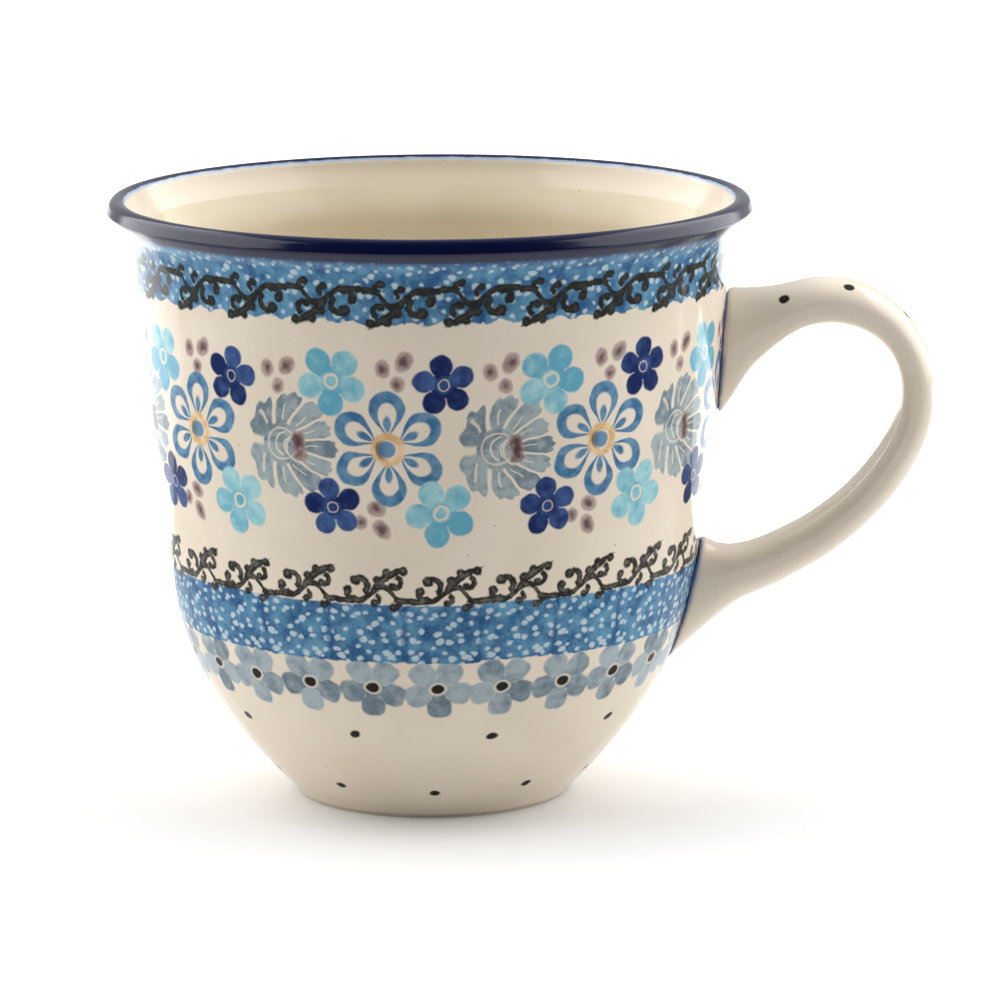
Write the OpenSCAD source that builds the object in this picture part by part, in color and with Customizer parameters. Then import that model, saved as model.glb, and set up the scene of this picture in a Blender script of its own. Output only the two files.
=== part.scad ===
// Stoneware mug with a loop handle, hand decorated under a clear glaze.
//
// Frame: +Z is up and is the axis of the bowl, the origin is the centre of
// the foot on the table, and the handle points along +X.
//
// The bowl is one outline that starts at the foot, climbs the outside, goes
// over the lip and runs down the inside to the middle of the floor. The clay
// body lies one glaze thickness behind that outline, and each glaze coat
// fills a stretch of the space between the two.
// The handle is a strap between two curves, its back and its finger side. Its
// two ends are cut to the curve of the wall and sit on pads of slip.

/* [Bowl] */
// Overall height
mug_h = 93.8; // [88:0.2:100]
// Outside diameter at the widest point of the lip
rim_d = 100; // [97:0.5:106]
// Outside diameter of the neck, just under the flare of the lip
neck_d = 92.8; // [90:0.1:94]
// Height of the neck
neck_h = 84.5; // [80:0.5:86]
// Outside diameter of the belly
belly_d = 85.6; // [82:0.1:90]
// Height of the belly, where the lower curve meets the straighter wall
belly_h = 46.5; // [42:0.5:50]
// Outside diameter of the foot
foot_d = 43.4; // [38:0.1:48]

/* [Walls] */
// Thickness of the wall with its glaze
wall_t = 3.9; // [3:0.1:5]
// Height of the floor inside, at its middle
floor_h = 6.6; // [5.5:0.1:9]
// Thickness of each glaze coat
glaze_t = 0.3; // [0.2:0.05:0.5]
// Width of the ring that the mug stands on
foot_ring_w = 4.2; // [3:0.1:6]
// Depth of the hollow inside that ring
foot_hollow = 2.4; // [1.5:0.1:3]
// Height above the table at which the outer glaze stops
bare_foot_h = 0.7; // [0.4:0.1:1.5]

/* [Lip] */
// Height of the outer bevel, from the crease to the top of the lip
lip_bevel_h = 2.1; // [1.5:0.1:2.5]
// Radius of the rounded top of the lip
lip_r = 1.5; // [1:0.1:1.6]
// Width of the cobalt coat under the crease
rim_coat_under = 1.9; // [1:0.1:3]

/* [Handle] */
// How far the handle stands out from the neck
handle_reach = 32.3; // [28:0.1:38]
// Width of the handle across the fingers
handle_w = 12.6; // [10:0.1:16]
// How much wider the handle is where it meets the wall
handle_flare_w = 2.2; // [0:0.1:4]
// Thickness of the slip pads
slip_t = 1.2; // [0.8:0.1:2]

/* [Hidden] */

$fn = 96;

// Colours
stoneware = [0.80, 0.74, 0.64];
clear_glaze = [0.87, 0.82, 0.74];
inside_glaze = [0.90, 0.84, 0.76];
cobalt_coat = [0.05, 0.07, 0.16];
slip_line = [0.16, 0.24, 0.52];

// Directions of the outline, in degrees above the horizontal
foot_angle = 66;
bowl_angle = 47;
belly_angle = 82;
neck_angle = 83.5;
lip_angle = 58;
inner_lip_angle = 76;

// Where the foot's own curve hands over to the bowl's
bowl_start = [foot_d / 2 + 2.3, 3.2];
// Heights and radii of the joints between the curves
foot_start = [foot_d / 2, bare_foot_h];
belly = [belly_d / 2, belly_h];
neck = [neck_d / 2, neck_h];
crease = [rim_d / 2, mug_h - lip_bevel_h];
lip_centre = [crease[0] - 0.35 - lip_r, mug_h - lip_r];
// Where the lip's round starts outside and ends inside, around its centre
outer_lip_start = 28;
inner_lip_end = 90 + inner_lip_angle;
inner_neck = [neck_d / 2 - wall_t, neck_h - 0.8];
inner_belly = [belly_d / 2 - wall_t, belly_h];

// ---- curves -------------------------------------------------------------

function direction(angle) = [cos(angle), sin(angle)];

// A point of the cubic curve through p[0] and p[3], pulled by p[1] and p[2]
function cubic(p, t) =
    let (u = 1 - t)
    u * u * u * p[0] + 3 * u * u * t * p[1] + 3 * u * t * t * p[2] + t * t * t * p[3];

// The curve from a to b that leaves and arrives at the given angles. pull is
// the length of each handle of the curve.
function blend(a, a_angle, a_pull, b, b_angle, b_pull, steps) =
    let (p = [a, a + a_pull * direction(a_angle), b - b_pull * direction(b_angle), b])
    [for (i = [0 : steps - 1]) cubic(p, i / steps)];

// An arc from one angle to another, without its last point
function arc(centre, r, from, to, steps) =
    [for (i = [0 : steps - 1]) centre + r * direction(from + (to - from) * i / steps)];

// Outside of the bowl, from the foot to just under the crease
outside = concat(
    blend(foot_start, foot_angle, 0.9, bowl_start, bowl_angle, 1.2, 4),
    blend(bowl_start, bowl_angle, 20.5, belly, belly_angle, 20.4, 14),
    blend(belly, belly_angle, 24, neck, neck_angle, 17.5, 8),
    blend(neck, neck_angle, 4.2, crease, lip_angle, 2.8, 6)
);

// The lip, from the crease over its rounded top to just short of the inside
lip_end = lip_centre + lip_r * direction(inner_lip_end);
lip = concat([crease], arc(lip_centre, lip_r, outer_lip_start, inner_lip_end, 10));

// Inside of the bowl, from the lip to the middle of the floor
inside = concat(
    blend(lip_end, 180 + inner_lip_angle, 2.5, inner_neck, 180 + neck_angle, 3.5, 5),
    blend(inner_neck, 180 + neck_angle, 17, inner_belly, 180 + belly_angle, 24, 7),
    blend(inner_belly, 180 + belly_angle, 19, [0, floor_h], 180, 26, 14),
    [[0, floor_h]]
);

bowl_outline = concat(outside, lip, inside);

// The outline's index where one coat stops and the next begins
under_lip = len([for (p = outside) if (p[1] < crease[1] - rim_coat_under) p]);
over_lip = len(outside) + len(lip);
last = len(bowl_outline) - 1;

// ---- moving an outline sideways -----------------------------------------

function left_of(a, b) = let (d = (b - a) / norm(b - a)) [-d[1], d[0]];

// Every point of an open outline moved d to its left, with mitred corners.
// The bowl's outline has its clay on the left.
function moved(points, d) =
    [for (i = [0 : len(points) - 1])
        let (
            end = len(points) - 1,
            before = i == 0 ? left_of(points[0], points[1]) : left_of(points[i - 1], points[i]),
            after = i == end ? before : left_of(points[i], points[i + 1])
        )
        points[i] + d * (before + after) / (1 + before * after)];

// The clay surface, one glaze thickness behind the outline. Its last point is
// put back on the axis.
clay_outline =
    let (m = moved(bowl_outline, glaze_t))
    [for (i = [0 : last]) i == last ? [0, m[i][1]] : m[i]];

function stretch(points, from, to) = [for (i = [from : to]) points[i]];
function reversed(points) = [for (i = [len(points) - 1 : -1 : 0]) points[i]];

// A coat of glaze between the outline and the clay
module coat(from, to) {
    rotate_extrude()
        polygon(concat(stretch(bowl_outline, from, to),
                       reversed(stretch(clay_outline, from, to))));
}

// Everything within the bowl's outside, at a distance d outside the clay
module filled_bowl(d) {
    wall = moved(stretch(clay_outline, 0, len(outside)), -d);
    top = wall[len(wall) - 1];
    rotate_extrude()
        polygon(concat([[0, wall[0][1]]], wall, [[0, top[1]]]));
}

// ---- handle -------------------------------------------------------------

// Matching points on the glazed back of the handle and on its finger side, counted
// outwards from the neck and upwards from the table. The first and last two
// lie within the wall.
back_side = [
    [-3.5, 80.2], [0.4, 79.1], [6.6, 79.3], [14, 80.6], [21.2, 79.5],
    [28, 74.2], [32.2, 65.5], [31.3, 56.4], [25.9, 46.7], [17.4, 38.4],
    [8.2, 32.8], [1.6, 29.8], [-3.4, 25.9], [-8, 21.8], [-11, 19]
];
finger_side = [
    [-4, 57], [-0.3, 60.8], [4, 67.2], [11, 72.6], [18, 73.2],
    [23.8, 69.8], [26, 63.4], [24.4, 56.2], [19.4, 49], [12.9, 43.5],
    [5.6, 39.7], [0.8, 38.4], [-2.6, 39], [-5.8, 41.2], [-8.5, 44]
];
stations = len(back_side);
// Reach of the curves above, which handle_reach stretches
drawn_reach = 32.3;
steps_per_station = 3;
section_sides = 20;
// The handle's finger side is flatter than its back: 1 is a plain oval
finger_side_squareness = 0.6;

function placed(p) = [neck_d / 2 + p[0] * handle_reach / drawn_reach, p[1]];

// A point on the smooth curve through a list of points
function on_curve(points, i, t) =
    let (
        n = len(points) - 1,
        a = points[max(i - 1, 0)], b = points[i],
        c = points[min(i + 1, n)], d = points[min(i + 2, n)]
    )
    0.5 * (2 * b + (c - a) * t + (2 * a - 5 * b + 4 * c - d) * t * t
           + (3 * b - a - 3 * c + d) * t * t * t);

// Half the handle's width, wider at both ends (place runs from 0 to 1)
function half_width(place) = handle_w / 2 + handle_flare_w / 2 * pow(abs(2 * place - 1), 6);

// One ring of the handle, with its skin a depth below the glazed surface
function ring(i, t, depth) =
    let (
        back = placed(on_curve(back_side, i, t)),
        finger = placed(on_curve(finger_side, i, t)),
        middle = (back + finger) / 2,
        across = (back - finger) / norm(back - finger),
        half = norm(back - finger) / 2 - depth,
        wide = half_width((i + t) / (stations - 1)) - depth
    )
    [for (k = [0 : section_sides - 1])
        let (
            a = 360 * k / section_sides,
            bend = cos(a) >= 0 ? cos(a) : -pow(-cos(a), finger_side_squareness),
            p = middle + across * half * bend
        )
        [p[0], wide * sin(a), p[1]]];

// All the points of the handle's skin at a depth, ring after ring
function skin(depth) = [
    for (s = [0 : ring_count - 1])
        let (i = min(floor(s / steps_per_station), stations - 2))
        for (p = ring(i, s / steps_per_station - i, depth)) p];

ring_count = (stations - 1) * steps_per_station + 1;

// The four-sided faces between two rows of points that start at a and b
function band(a, b) =
    let (n = section_sides)
    [for (k = [0 : n - 1]) [a + k, a + (k + 1) % n, b + (k + 1) % n, b + k]];

// The faces of a skin whose points start at first
function skin_faces(first) =
    [for (s = [0 : ring_count - 2], f = band(first + s * section_sides,
                                             first + (s + 1) * section_sides)) f];

function turned_over(faces) = [for (f = faces) reversed(f)];

// The whole handle down to a depth below its glazed surface
module handle_solid(depth) {
    n = section_sides;
    polyhedron(
        points = skin(depth),
        faces = concat(
            skin_faces(0),
            [[for (k = [0 : n - 1]) n - 1 - k], [for (k = [0 : n - 1]) (ring_count - 1) * n + k]]
        )
    );
}

// The glaze on the handle, open at both ends
module handle_coat() {
    n = section_sides;
    inner = ring_count * n;
    final = inner - n;
    polyhedron(
        points = concat(skin(0), skin(glaze_t)),
        faces = concat(
            skin_faces(0),
            turned_over(skin_faces(inner)),
            turned_over(band(0, inner)),
            band(final, inner + final)
        )
    );
}

// The pad of slip under one end of the handle
module slip_pad(low, high) {
    intersection() {
        handle_solid(glaze_t);
        difference() {
            filled_bowl(slip_t);
            filled_bowl(0);
        }
        translate([0, -rim_d / 2, low])
            cube([rim_d, rim_d, high - low]);
    }
}

// Height that parts the handle's two ends, in the middle of the finger gap
mid_gap = 50;

// ---- sub-parts ----------------------------------------------------------

// The clay bowl: wall, floor, foot ring and the hollow under the floor
module mug_body() {
    foot_out = clay_outline[0][0];
    hollow_r = foot_out - foot_ring_w;
    color(stoneware)
        rotate_extrude()
            polygon(concat(
                [[0, foot_hollow], [hollow_r - 1, foot_hollow], [hollow_r, 0], [foot_out - 0.4, 0],
                 [foot_out, 0.4]],
                clay_outline));
}

module handle() {
    color(stoneware)
        difference() {
            handle_solid(glaze_t);
            filled_bowl(slip_t);
        }
}

module upper_handle_slip() {
    color(slip_line)
        slip_pad(mid_gap, mug_h);
}

module lower_handle_slip() {
    color(slip_line)
        slip_pad(0, mid_gap);
}

module outer_glaze() {
    color(clear_glaze)
        difference() {
            coat(0, under_lip);
            handle_solid(glaze_t);
        }
}

module rim_glaze() {
    color(cobalt_coat)
        coat(under_lip, over_lip);
}

module inner_glaze() {
    color(inside_glaze)
        coat(over_lip, last);
}

// The glaze in the hollow under the floor
module base_glaze() {
    hollow_r = clay_outline[0][0] - foot_ring_w - 1;
    color(clear_glaze)
        translate([0, 0, foot_hollow - glaze_t])
            cylinder(r = hollow_r, h = glaze_t);
}

module handle_glaze() {
    color(clear_glaze)
        difference() {
            handle_coat();
            filled_bowl(glaze_t);
        }
}

mug_body();
handle();
upper_handle_slip();
lower_handle_slip();
outer_glaze();
rim_glaze();
inner_glaze();
base_glaze();
handle_glaze();
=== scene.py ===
"""A stoneware mug with stamped and brushed underglaze decoration.

The bowl is one lathed outline, cut into rings. Each ring holds one zone of the
decoration, and its material draws that zone's stamps from formulas in two
coordinates: the angle around the axis and the length along the wall.
"""
import math
from functools import partial, reduce

import bpy
import numpy as np
from mathutils import Matrix, Vector


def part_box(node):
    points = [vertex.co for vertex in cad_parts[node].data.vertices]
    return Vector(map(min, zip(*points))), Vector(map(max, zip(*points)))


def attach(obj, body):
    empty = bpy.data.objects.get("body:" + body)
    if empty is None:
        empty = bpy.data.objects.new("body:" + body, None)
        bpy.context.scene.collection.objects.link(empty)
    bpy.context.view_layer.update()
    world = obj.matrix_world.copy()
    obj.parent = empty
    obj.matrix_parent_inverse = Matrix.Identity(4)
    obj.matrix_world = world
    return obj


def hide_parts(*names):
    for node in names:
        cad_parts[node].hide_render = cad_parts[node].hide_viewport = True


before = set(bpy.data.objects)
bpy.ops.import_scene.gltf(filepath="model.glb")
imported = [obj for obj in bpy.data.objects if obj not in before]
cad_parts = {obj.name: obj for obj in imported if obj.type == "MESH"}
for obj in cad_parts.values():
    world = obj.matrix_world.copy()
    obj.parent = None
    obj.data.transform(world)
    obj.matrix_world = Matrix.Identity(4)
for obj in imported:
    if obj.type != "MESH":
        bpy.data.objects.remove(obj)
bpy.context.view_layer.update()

MM = 0.001
TAU = 2 * math.pi


# ---- outline of the bowl, in millimetres ----

LIP_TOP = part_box("rim_glaze")[1].z / MM
RIM_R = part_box("rim_glaze")[1].y / MM
BARE_FOOT_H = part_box("outer_glaze")[0].z / MM
GLAZE_T = 0.3
FLOOR_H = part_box("inner_glaze")[0].z / MM + GLAZE_T
WALL_T = 3.9
FOOT_R = 21.7
FOOT_HOLLOW = 2.4
FOOT_RING_W = 4.2
LIP_R = 1.5
FOOT_START = np.array([FOOT_R, BARE_FOOT_H])
BOWL_START = np.array([FOOT_R + 2.3, 3.2])
BELLY = np.array([42.8, 46.5])
NECK = np.array([46.4, 84.5])
CREASE = np.array([RIM_R, LIP_TOP - 2.1])
LIP_CENTRE = np.array([CREASE[0] - 0.35 - LIP_R, LIP_TOP - LIP_R])
INNER_NECK = np.array([NECK[0] - WALL_T, NECK[1] - 0.8])
INNER_BELLY = np.array([BELLY[0] - WALL_T, BELLY[1]])
FOOT_ANGLE, BOWL_ANGLE, BELLY_ANGLE, NECK_ANGLE, LIP_ANGLE = 66, 47, 82, 83.5, 58
INNER_LIP_ANGLE = 76
OUTER_LIP_START = 28
CREASE_ROUNDING = 0.38
# Points on the inner wall's three curves, from the lip down, and one more in the middle
INNER_STEPS = (14, 28, 48)


def direction(degrees):
    return np.array([math.cos(math.radians(degrees)), math.sin(math.radians(degrees))])


def curve_between(a, a_angle, a_pull, b, b_angle, b_pull, steps):
    """Points of the cubic curve that leaves a and reaches b at the given angles, without b."""
    p1 = a + a_pull * direction(a_angle)
    p2 = b - b_pull * direction(b_angle)
    t = np.linspace(0, 1, steps, endpoint=False)[:, None]
    u = 1 - t
    return u**3 * a + 3 * u * u * t * p1 + 3 * u * t * t * p2 + t**3 * b


def arc(centre, radius, start, end, steps):
    """Points of an arc between two angles in degrees, without its end."""
    angles = np.radians(np.linspace(start, end, steps, endpoint=False))
    return centre + radius * np.stack([np.cos(angles), np.sin(angles)], 1)


def rounded_corner(before, corner, after, radius, steps):
    """A short curve that takes the place of a sharp corner."""
    a = corner + radius * (before - corner) / np.linalg.norm(before - corner)
    b = corner + radius * (after - corner) / np.linalg.norm(after - corner)
    t = np.linspace(0, 1, steps)[:, None]
    return (1 - t) ** 2 * a + 2 * t * (1 - t) * corner + t * t * b


def bowl_outline():
    """Radius and height of points from the foot's edge, over the lip, to the middle of the floor.

    Also how many of the points lie on the outside, below the crease.
    """
    outside = np.concatenate([
        curve_between(FOOT_START, FOOT_ANGLE, 0.9, BOWL_START, BOWL_ANGLE, 1.2, 6),
        curve_between(BOWL_START, BOWL_ANGLE, 20.5, BELLY, BELLY_ANGLE, 20.4, 64),
        curve_between(BELLY, BELLY_ANGLE, 24, NECK, NECK_ANGLE, 17.5, 48),
        curve_between(NECK, NECK_ANGLE, 4.2, CREASE, LIP_ANGLE, 2.8, 18),
    ])
    inner_lip_end = 90 + INNER_LIP_ANGLE
    lip = arc(LIP_CENTRE, LIP_R, OUTER_LIP_START, inner_lip_end, 22)
    crease = rounded_corner(outside[-1], CREASE, lip[0], CREASE_ROUNDING, 6)
    bevel = np.linspace(crease[-1], lip[0], 5)[1:-1]
    lip_end = LIP_CENTRE + LIP_R * direction(inner_lip_end)
    lip_down, neck_down, belly_down = 180 + INNER_LIP_ANGLE, 180 + NECK_ANGLE, 180 + BELLY_ANGLE
    floor_middle = np.array([0.0, FLOOR_H])
    inside = np.concatenate([
        curve_between(lip_end, lip_down, 2.5, INNER_NECK, neck_down, 3.5, INNER_STEPS[0]),
        curve_between(INNER_NECK, neck_down, 17, INNER_BELLY, belly_down, 24, INNER_STEPS[1]),
        curve_between(INNER_BELLY, belly_down, 19, floor_middle, 180, 26, INNER_STEPS[2]),
        floor_middle[None],
    ])
    return np.concatenate([outside, crease, bevel, lip, inside]), len(outside)


def lengths_along(points):
    """The length of a line of points up to each of them."""
    steps = np.linalg.norm(np.diff(points, axis=0), axis=1)
    return np.concatenate([[0], np.cumsum(steps)])


outline, outside_count = bowl_outline()
# Length along the outline, counted from the table
along = lengths_along(outline) + BARE_FOOT_H
# Where the lip ends and the inner wall starts, as a length along the outline
INSIDE_AT = along[-sum(INNER_STEPS) - 1]


def wall_radius(z):
    """Outside radius of the bowl at a height."""
    return np.interp(z, outline[:outside_count, 1], outline[:outside_count, 0])


# ---- meshes ----

def grid_normals(grid):
    """Normals of a grid of points whose rows close round."""
    down = np.gradient(grid, axis=0)
    across = np.roll(grid, -1, axis=1) - np.roll(grid, 1, axis=1)
    normals = np.cross(across, down)
    size = np.linalg.norm(normals, axis=2, keepdims=True)
    return normals / np.maximum(size, 1e-12)


def new_object(name, data):
    """An object in the scene that shows some data."""
    made = bpy.data.objects.new(name, data)
    bpy.context.scene.collection.objects.link(made)
    return made


def make_piece(name, vertices, faces, normals, material, values):
    """A smooth mesh object in metres, with its own normals and named numbers on its points."""
    mesh = bpy.data.meshes.new(name)
    mesh.from_pydata([tuple(v) for v in vertices * MM], [], faces)
    mesh.polygons.foreach_set("use_smooth", [True] * len(mesh.polygons))
    for label, numbers in values.items():
        layer = mesh.attributes.new(label, "FLOAT", "POINT")
        layer.data.foreach_set("value", np.asarray(numbers, np.float32))
    mesh.materials.append(material)
    mesh.update()
    mesh.normals_split_custom_set_from_vertices([tuple(n) for n in normals])
    return new_object(name, mesh)


def grid_piece(name, grid, normals, material, values=None, tips=(False, False)):
    """A piece from rows of points that close round.

    values gives numbers for each row. tips says if the first and the last row are a single point.
    """
    rows, columns = grid.shape[:2]
    index = np.arange(rows * columns).reshape(rows, columns)
    normals = normals.copy()
    for row, is_tip in zip((0, -1), tips):
        if is_tip:
            index[row] = index[row, 0]
            normals[row, 0] = (0, 0, 1 if normals[row - 1 if row else 1, 0, 2] > 0 else -1)
    used, inverse = np.unique(index, return_inverse=True)
    index = inverse.reshape(rows, columns)
    beside = np.roll(index, -1, axis=1)
    corners = np.stack([index[:-1], beside[:-1], beside[1:], index[1:]], 2).reshape(-1, 4)
    faces = [tuple(dict.fromkeys(face)) for face in corners.tolist()]
    values = {label: np.repeat(numbers, columns)[used] for label, numbers in (values or {}).items()}
    vertices = grid.reshape(-1, 3)[used]
    normals = normals.reshape(-1, 3)[used]
    return make_piece(name, vertices, faces, normals, material, values)


AROUND = 256
# Inside this radius the unevenness fades, so that the middle of the floor stays whole
EVEN_R = 30


def lathe(points, lengths):
    """A grid turned from an outline, with the faint unevenness of a hand-turned pot."""
    angles = np.arange(AROUND) * TAU / AROUND
    s, a = np.meshgrid(lengths, angles, indexing="ij")
    wave = (0.060 * np.sin(2 * a + 1.1 + 0.02 * s) + 0.025 * np.sin(5 * a + 0.06 * s + 2.0)
            + 0.018 * np.sin(0.33 * s + 1.4 * np.cos(a)) + 0.012 * np.sin(9 * a - 0.11 * s))
    r = points[:, 0][:, None]
    radius = r + wave * np.minimum(r / EVEN_R, 1)
    z = np.broadcast_to(points[:, 1][:, None], s.shape)
    return np.stack([radius * np.cos(a), radius * np.sin(a), z], 2)


def inset(points, depth):
    """An open outline moved to its left by a depth, with mitred corners."""
    step = np.diff(points, axis=0)
    side = np.stack([-step[:, 1], step[:, 0]], 1) / np.linalg.norm(step, axis=1)[:, None]
    before = np.concatenate([side[:1], side])
    after = np.concatenate([side, side[-1:]])
    return points + depth * (before + after) / (1 + np.sum(before * after, 1))[:, None]


# ---- node formulas ----

class Value:
    """A number or vector that nodes work out at each point of a surface."""

    def __init__(self, net, socket):
        self.net = net
        self.socket = socket

    def __add__(self, other):
        return self.net.math("ADD", self, other)

    def __sub__(self, other):
        return self.net.math("SUBTRACT", self, other)

    def __rsub__(self, other):
        return self.net.math("SUBTRACT", other, self)

    def __mul__(self, other):
        return self.net.math("MULTIPLY", self, other)

    def __truediv__(self, other):
        return self.net.math("DIVIDE", self, other)

    def __neg__(self):
        return self.net.math("MULTIPLY", self, -1)

    def __abs__(self):
        return self.net.math("ABSOLUTE", self)


class Net:
    """Writes the nodes of one material, or of the world, as formulas."""

    def __init__(self, name, store=None):
        store = bpy.data.materials if store is None else store
        self.owner = store.new(name)
        self.owner.use_nodes = True
        self.tree = self.owner.node_tree
        self.tree.nodes.clear()

    def add(self, kind, **settings):
        node = self.tree.nodes.new("ShaderNode" + kind)
        for name, setting in settings.items():
            setattr(node, name, setting)
        return node

    def feed(self, value, socket):
        if isinstance(value, Value):
            self.tree.links.new(value.socket, socket)
        else:
            socket.default_value = value

    def math(self, operation, *values):
        node = self.add("Math", operation=operation)
        for value, socket in zip(values, node.inputs):
            self.feed(value, socket)
        return Value(self, node.outputs[0])

    def vmath(self, operation, *values):
        node = self.add("VectorMath", operation=operation)
        for value, socket in zip(values, node.inputs):
            self.feed(value, socket)
        wanted = "Value" if operation in ("DISTANCE", "LENGTH", "DOT_PRODUCT") else "Vector"
        return Value(self, node.outputs[wanted])

    def vector(self, x, y, z=0.0):
        node = self.add("CombineXYZ")
        for value, socket in zip((x, y, z), node.inputs):
            self.feed(value, socket)
        return Value(self, node.outputs[0])

    def parts(self, vector):
        node = self.add("SeparateXYZ")
        self.feed(vector, node.inputs[0])
        return [Value(self, output) for output in node.outputs]

    def turned(self, vector, angle):
        node = self.add("VectorRotate", rotation_type="Z_AXIS")
        self.feed(vector, node.inputs["Vector"])
        self.feed(angle, node.inputs["Angle"])
        return Value(self, node.outputs[0])

    def ramp(self, value, start, end, low=0.0, high=1.0):
        """low before start, high after end, and a smooth change between. start may be above end."""
        node = self.add("MapRange", interpolation_type="SMOOTHSTEP")
        if isinstance(start, (int, float)) and isinstance(end, (int, float)) and start > end:
            start, end, low, high = end, start, high, low
        for value, name in ((value, "Value"), (start, "From Min"), (end, "From Max"),
                            (low, "To Min"), (high, "To Max")):
            self.feed(value, node.inputs[name])
        return Value(self, node.outputs[0])

    def inside(self, distance, softness=0.17):
        """1 where a distance is below zero, 0 above, with a soft edge."""
        return self.ramp(distance, softness, -softness)

    def least(self, *values):
        return reduce(partial(self.math, "MINIMUM"), values)

    def most(self, *values):
        return reduce(partial(self.math, "MAXIMUM"), values)

    def noise(self, vector, scale, detail=2.0, roughness=0.5, output="Fac"):
        node = self.add("TexNoise")
        self.feed(vector, node.inputs["Vector"])
        for name, number in (("Scale", scale), ("Detail", detail), ("Roughness", roughness)):
            node.inputs[name].default_value = number
        return Value(self, node.outputs[output])

    def wobble(self, vector, scale, amount):
        """A push that wanders from place to place, as a loose stamp or brush does."""
        drift = self.noise(vector, scale, 1.5, output="Color")
        push = self.vmath("SUBTRACT", drift, (0.5, 0.5, 0.5))
        return self.vmath("MULTIPLY", push, (amount, amount, amount))

    def cells(self, vector, scale, randomness=1.0, dimensions="3D"):
        """The distance to the nearest of scattered points, and that point's random numbers."""
        node = self.add("TexVoronoi", voronoi_dimensions=dimensions)
        self.feed(vector, node.inputs["Vector"])
        node.inputs["Scale"].default_value = scale
        node.inputs["Randomness"].default_value = randomness
        return Value(self, node.outputs["Distance"]), self.parts(Value(self, node.outputs["Color"]))

    def dice(self, vector):
        """Three random numbers for each whole-numbered place."""
        node = self.add("TexWhiteNoise", noise_dimensions="3D")
        self.feed(vector, node.inputs["Vector"])
        return self.parts(Value(self, node.outputs["Color"]))

    def mix(self, amount, a, b):
        node = self.add("Mix", data_type="RGBA")
        for value, socket in ((amount, node.inputs[0]), (a, node.inputs[6]), (b, node.inputs[7])):
            self.feed(value, socket)
        return Value(self, node.outputs[2])

    def repeat(self, x, period, count):
        """The place within a cell, from minus half to half a period, and the cell's number."""
        cell = self.math("FLOOR", x / period + 0.5)
        return x - cell * period, self.math("FLOORED_MODULO", cell, count)

    def finished(self, output, shader):
        """The material or world that ends in a shader."""
        node = self.add(output)
        self.tree.links.new(shader.outputs[0], node.inputs[0])
        return self.owner


def srgb(red, green, blue):
    """A linear colour from display values of 0 to 255."""
    def linear(c):
        c /= 255
        return c / 12.92 if c <= 0.04045 else ((c + 0.055) / 1.055) ** 2.4
    return (linear(red), linear(green), linear(blue), 1.0)


# ---- colours ----

# What the studio makes of a colour on the front of the mug: the light that falls on it, and
# the gloss that the glaze adds
FRONT_LIGHT = 0.66
FRONT_GLOSS = 0.008
DARKEST = 0.001


def pigment(red, green, blue):
    """The colour that looks like this on the front of the mug, in the studio's light."""
    bare = [max(c - FRONT_GLOSS, DARKEST) / FRONT_LIGHT for c in srgb(red, green, blue)[:3]]
    return tuple(min(c, 1.0) for c in bare) + (1.0,)


# The two tones of the ground
CREAM = (srgb(218, 206, 187), srgb(224, 212, 195))
# The inside's cream: the same glaze painted darker and yellower, as painted shade and painted
# bounce light inside the cup
SHADED_INNER_CREAM = (srgb(210, 199, 174), srgb(216, 205, 182))
# The colours of a thin and a thick stroke of each pigment, mixed by a tone of 0 to 1
BAND = (pigment(76, 122, 148), pigment(21, 67, 107))
BAND_HOLE = pigment(142, 160, 166)
LOWER_BAND_HOLE = pigment(146, 163, 170)
ROW = (pigment(132, 144, 150), pigment(74, 92, 104))
NAVY_PETAL = (pigment(58, 80, 122), pigment(8, 34, 72))
TURQUOISE = (pigment(136, 172, 174), pigment(80, 135, 154))
DAISY = (pigment(86, 119, 142), pigment(51, 88, 120))
GREY_PETAL = (pigment(132, 142, 144), pigment(90, 104, 112))
PURPLE = (pigment(144, 126, 122), pigment(68, 48, 51))
ORANGE = (pigment(190, 164, 122), pigment(172, 134, 84))
LOWER_VINE = (pigment(86, 84, 78), pigment(38, 37, 35))
UPPER_VINE = (pigment(56, 56, 52), pigment(36, 37, 35))
DOT = pigment(36, 33, 31)
COBALT = (pigment(170, 178, 205), pigment(104, 118, 170))
LIP_NAVY = srgb(8, 14, 50)
LIP_FRINGE = pigment(130, 148, 172)
BROWN_SPECK = srgb(110, 84, 62)


# ---- coordinates on the wall ----

# Around this angle in degrees, crowded rows stand closest together
CROWDED_AT = 20


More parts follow.
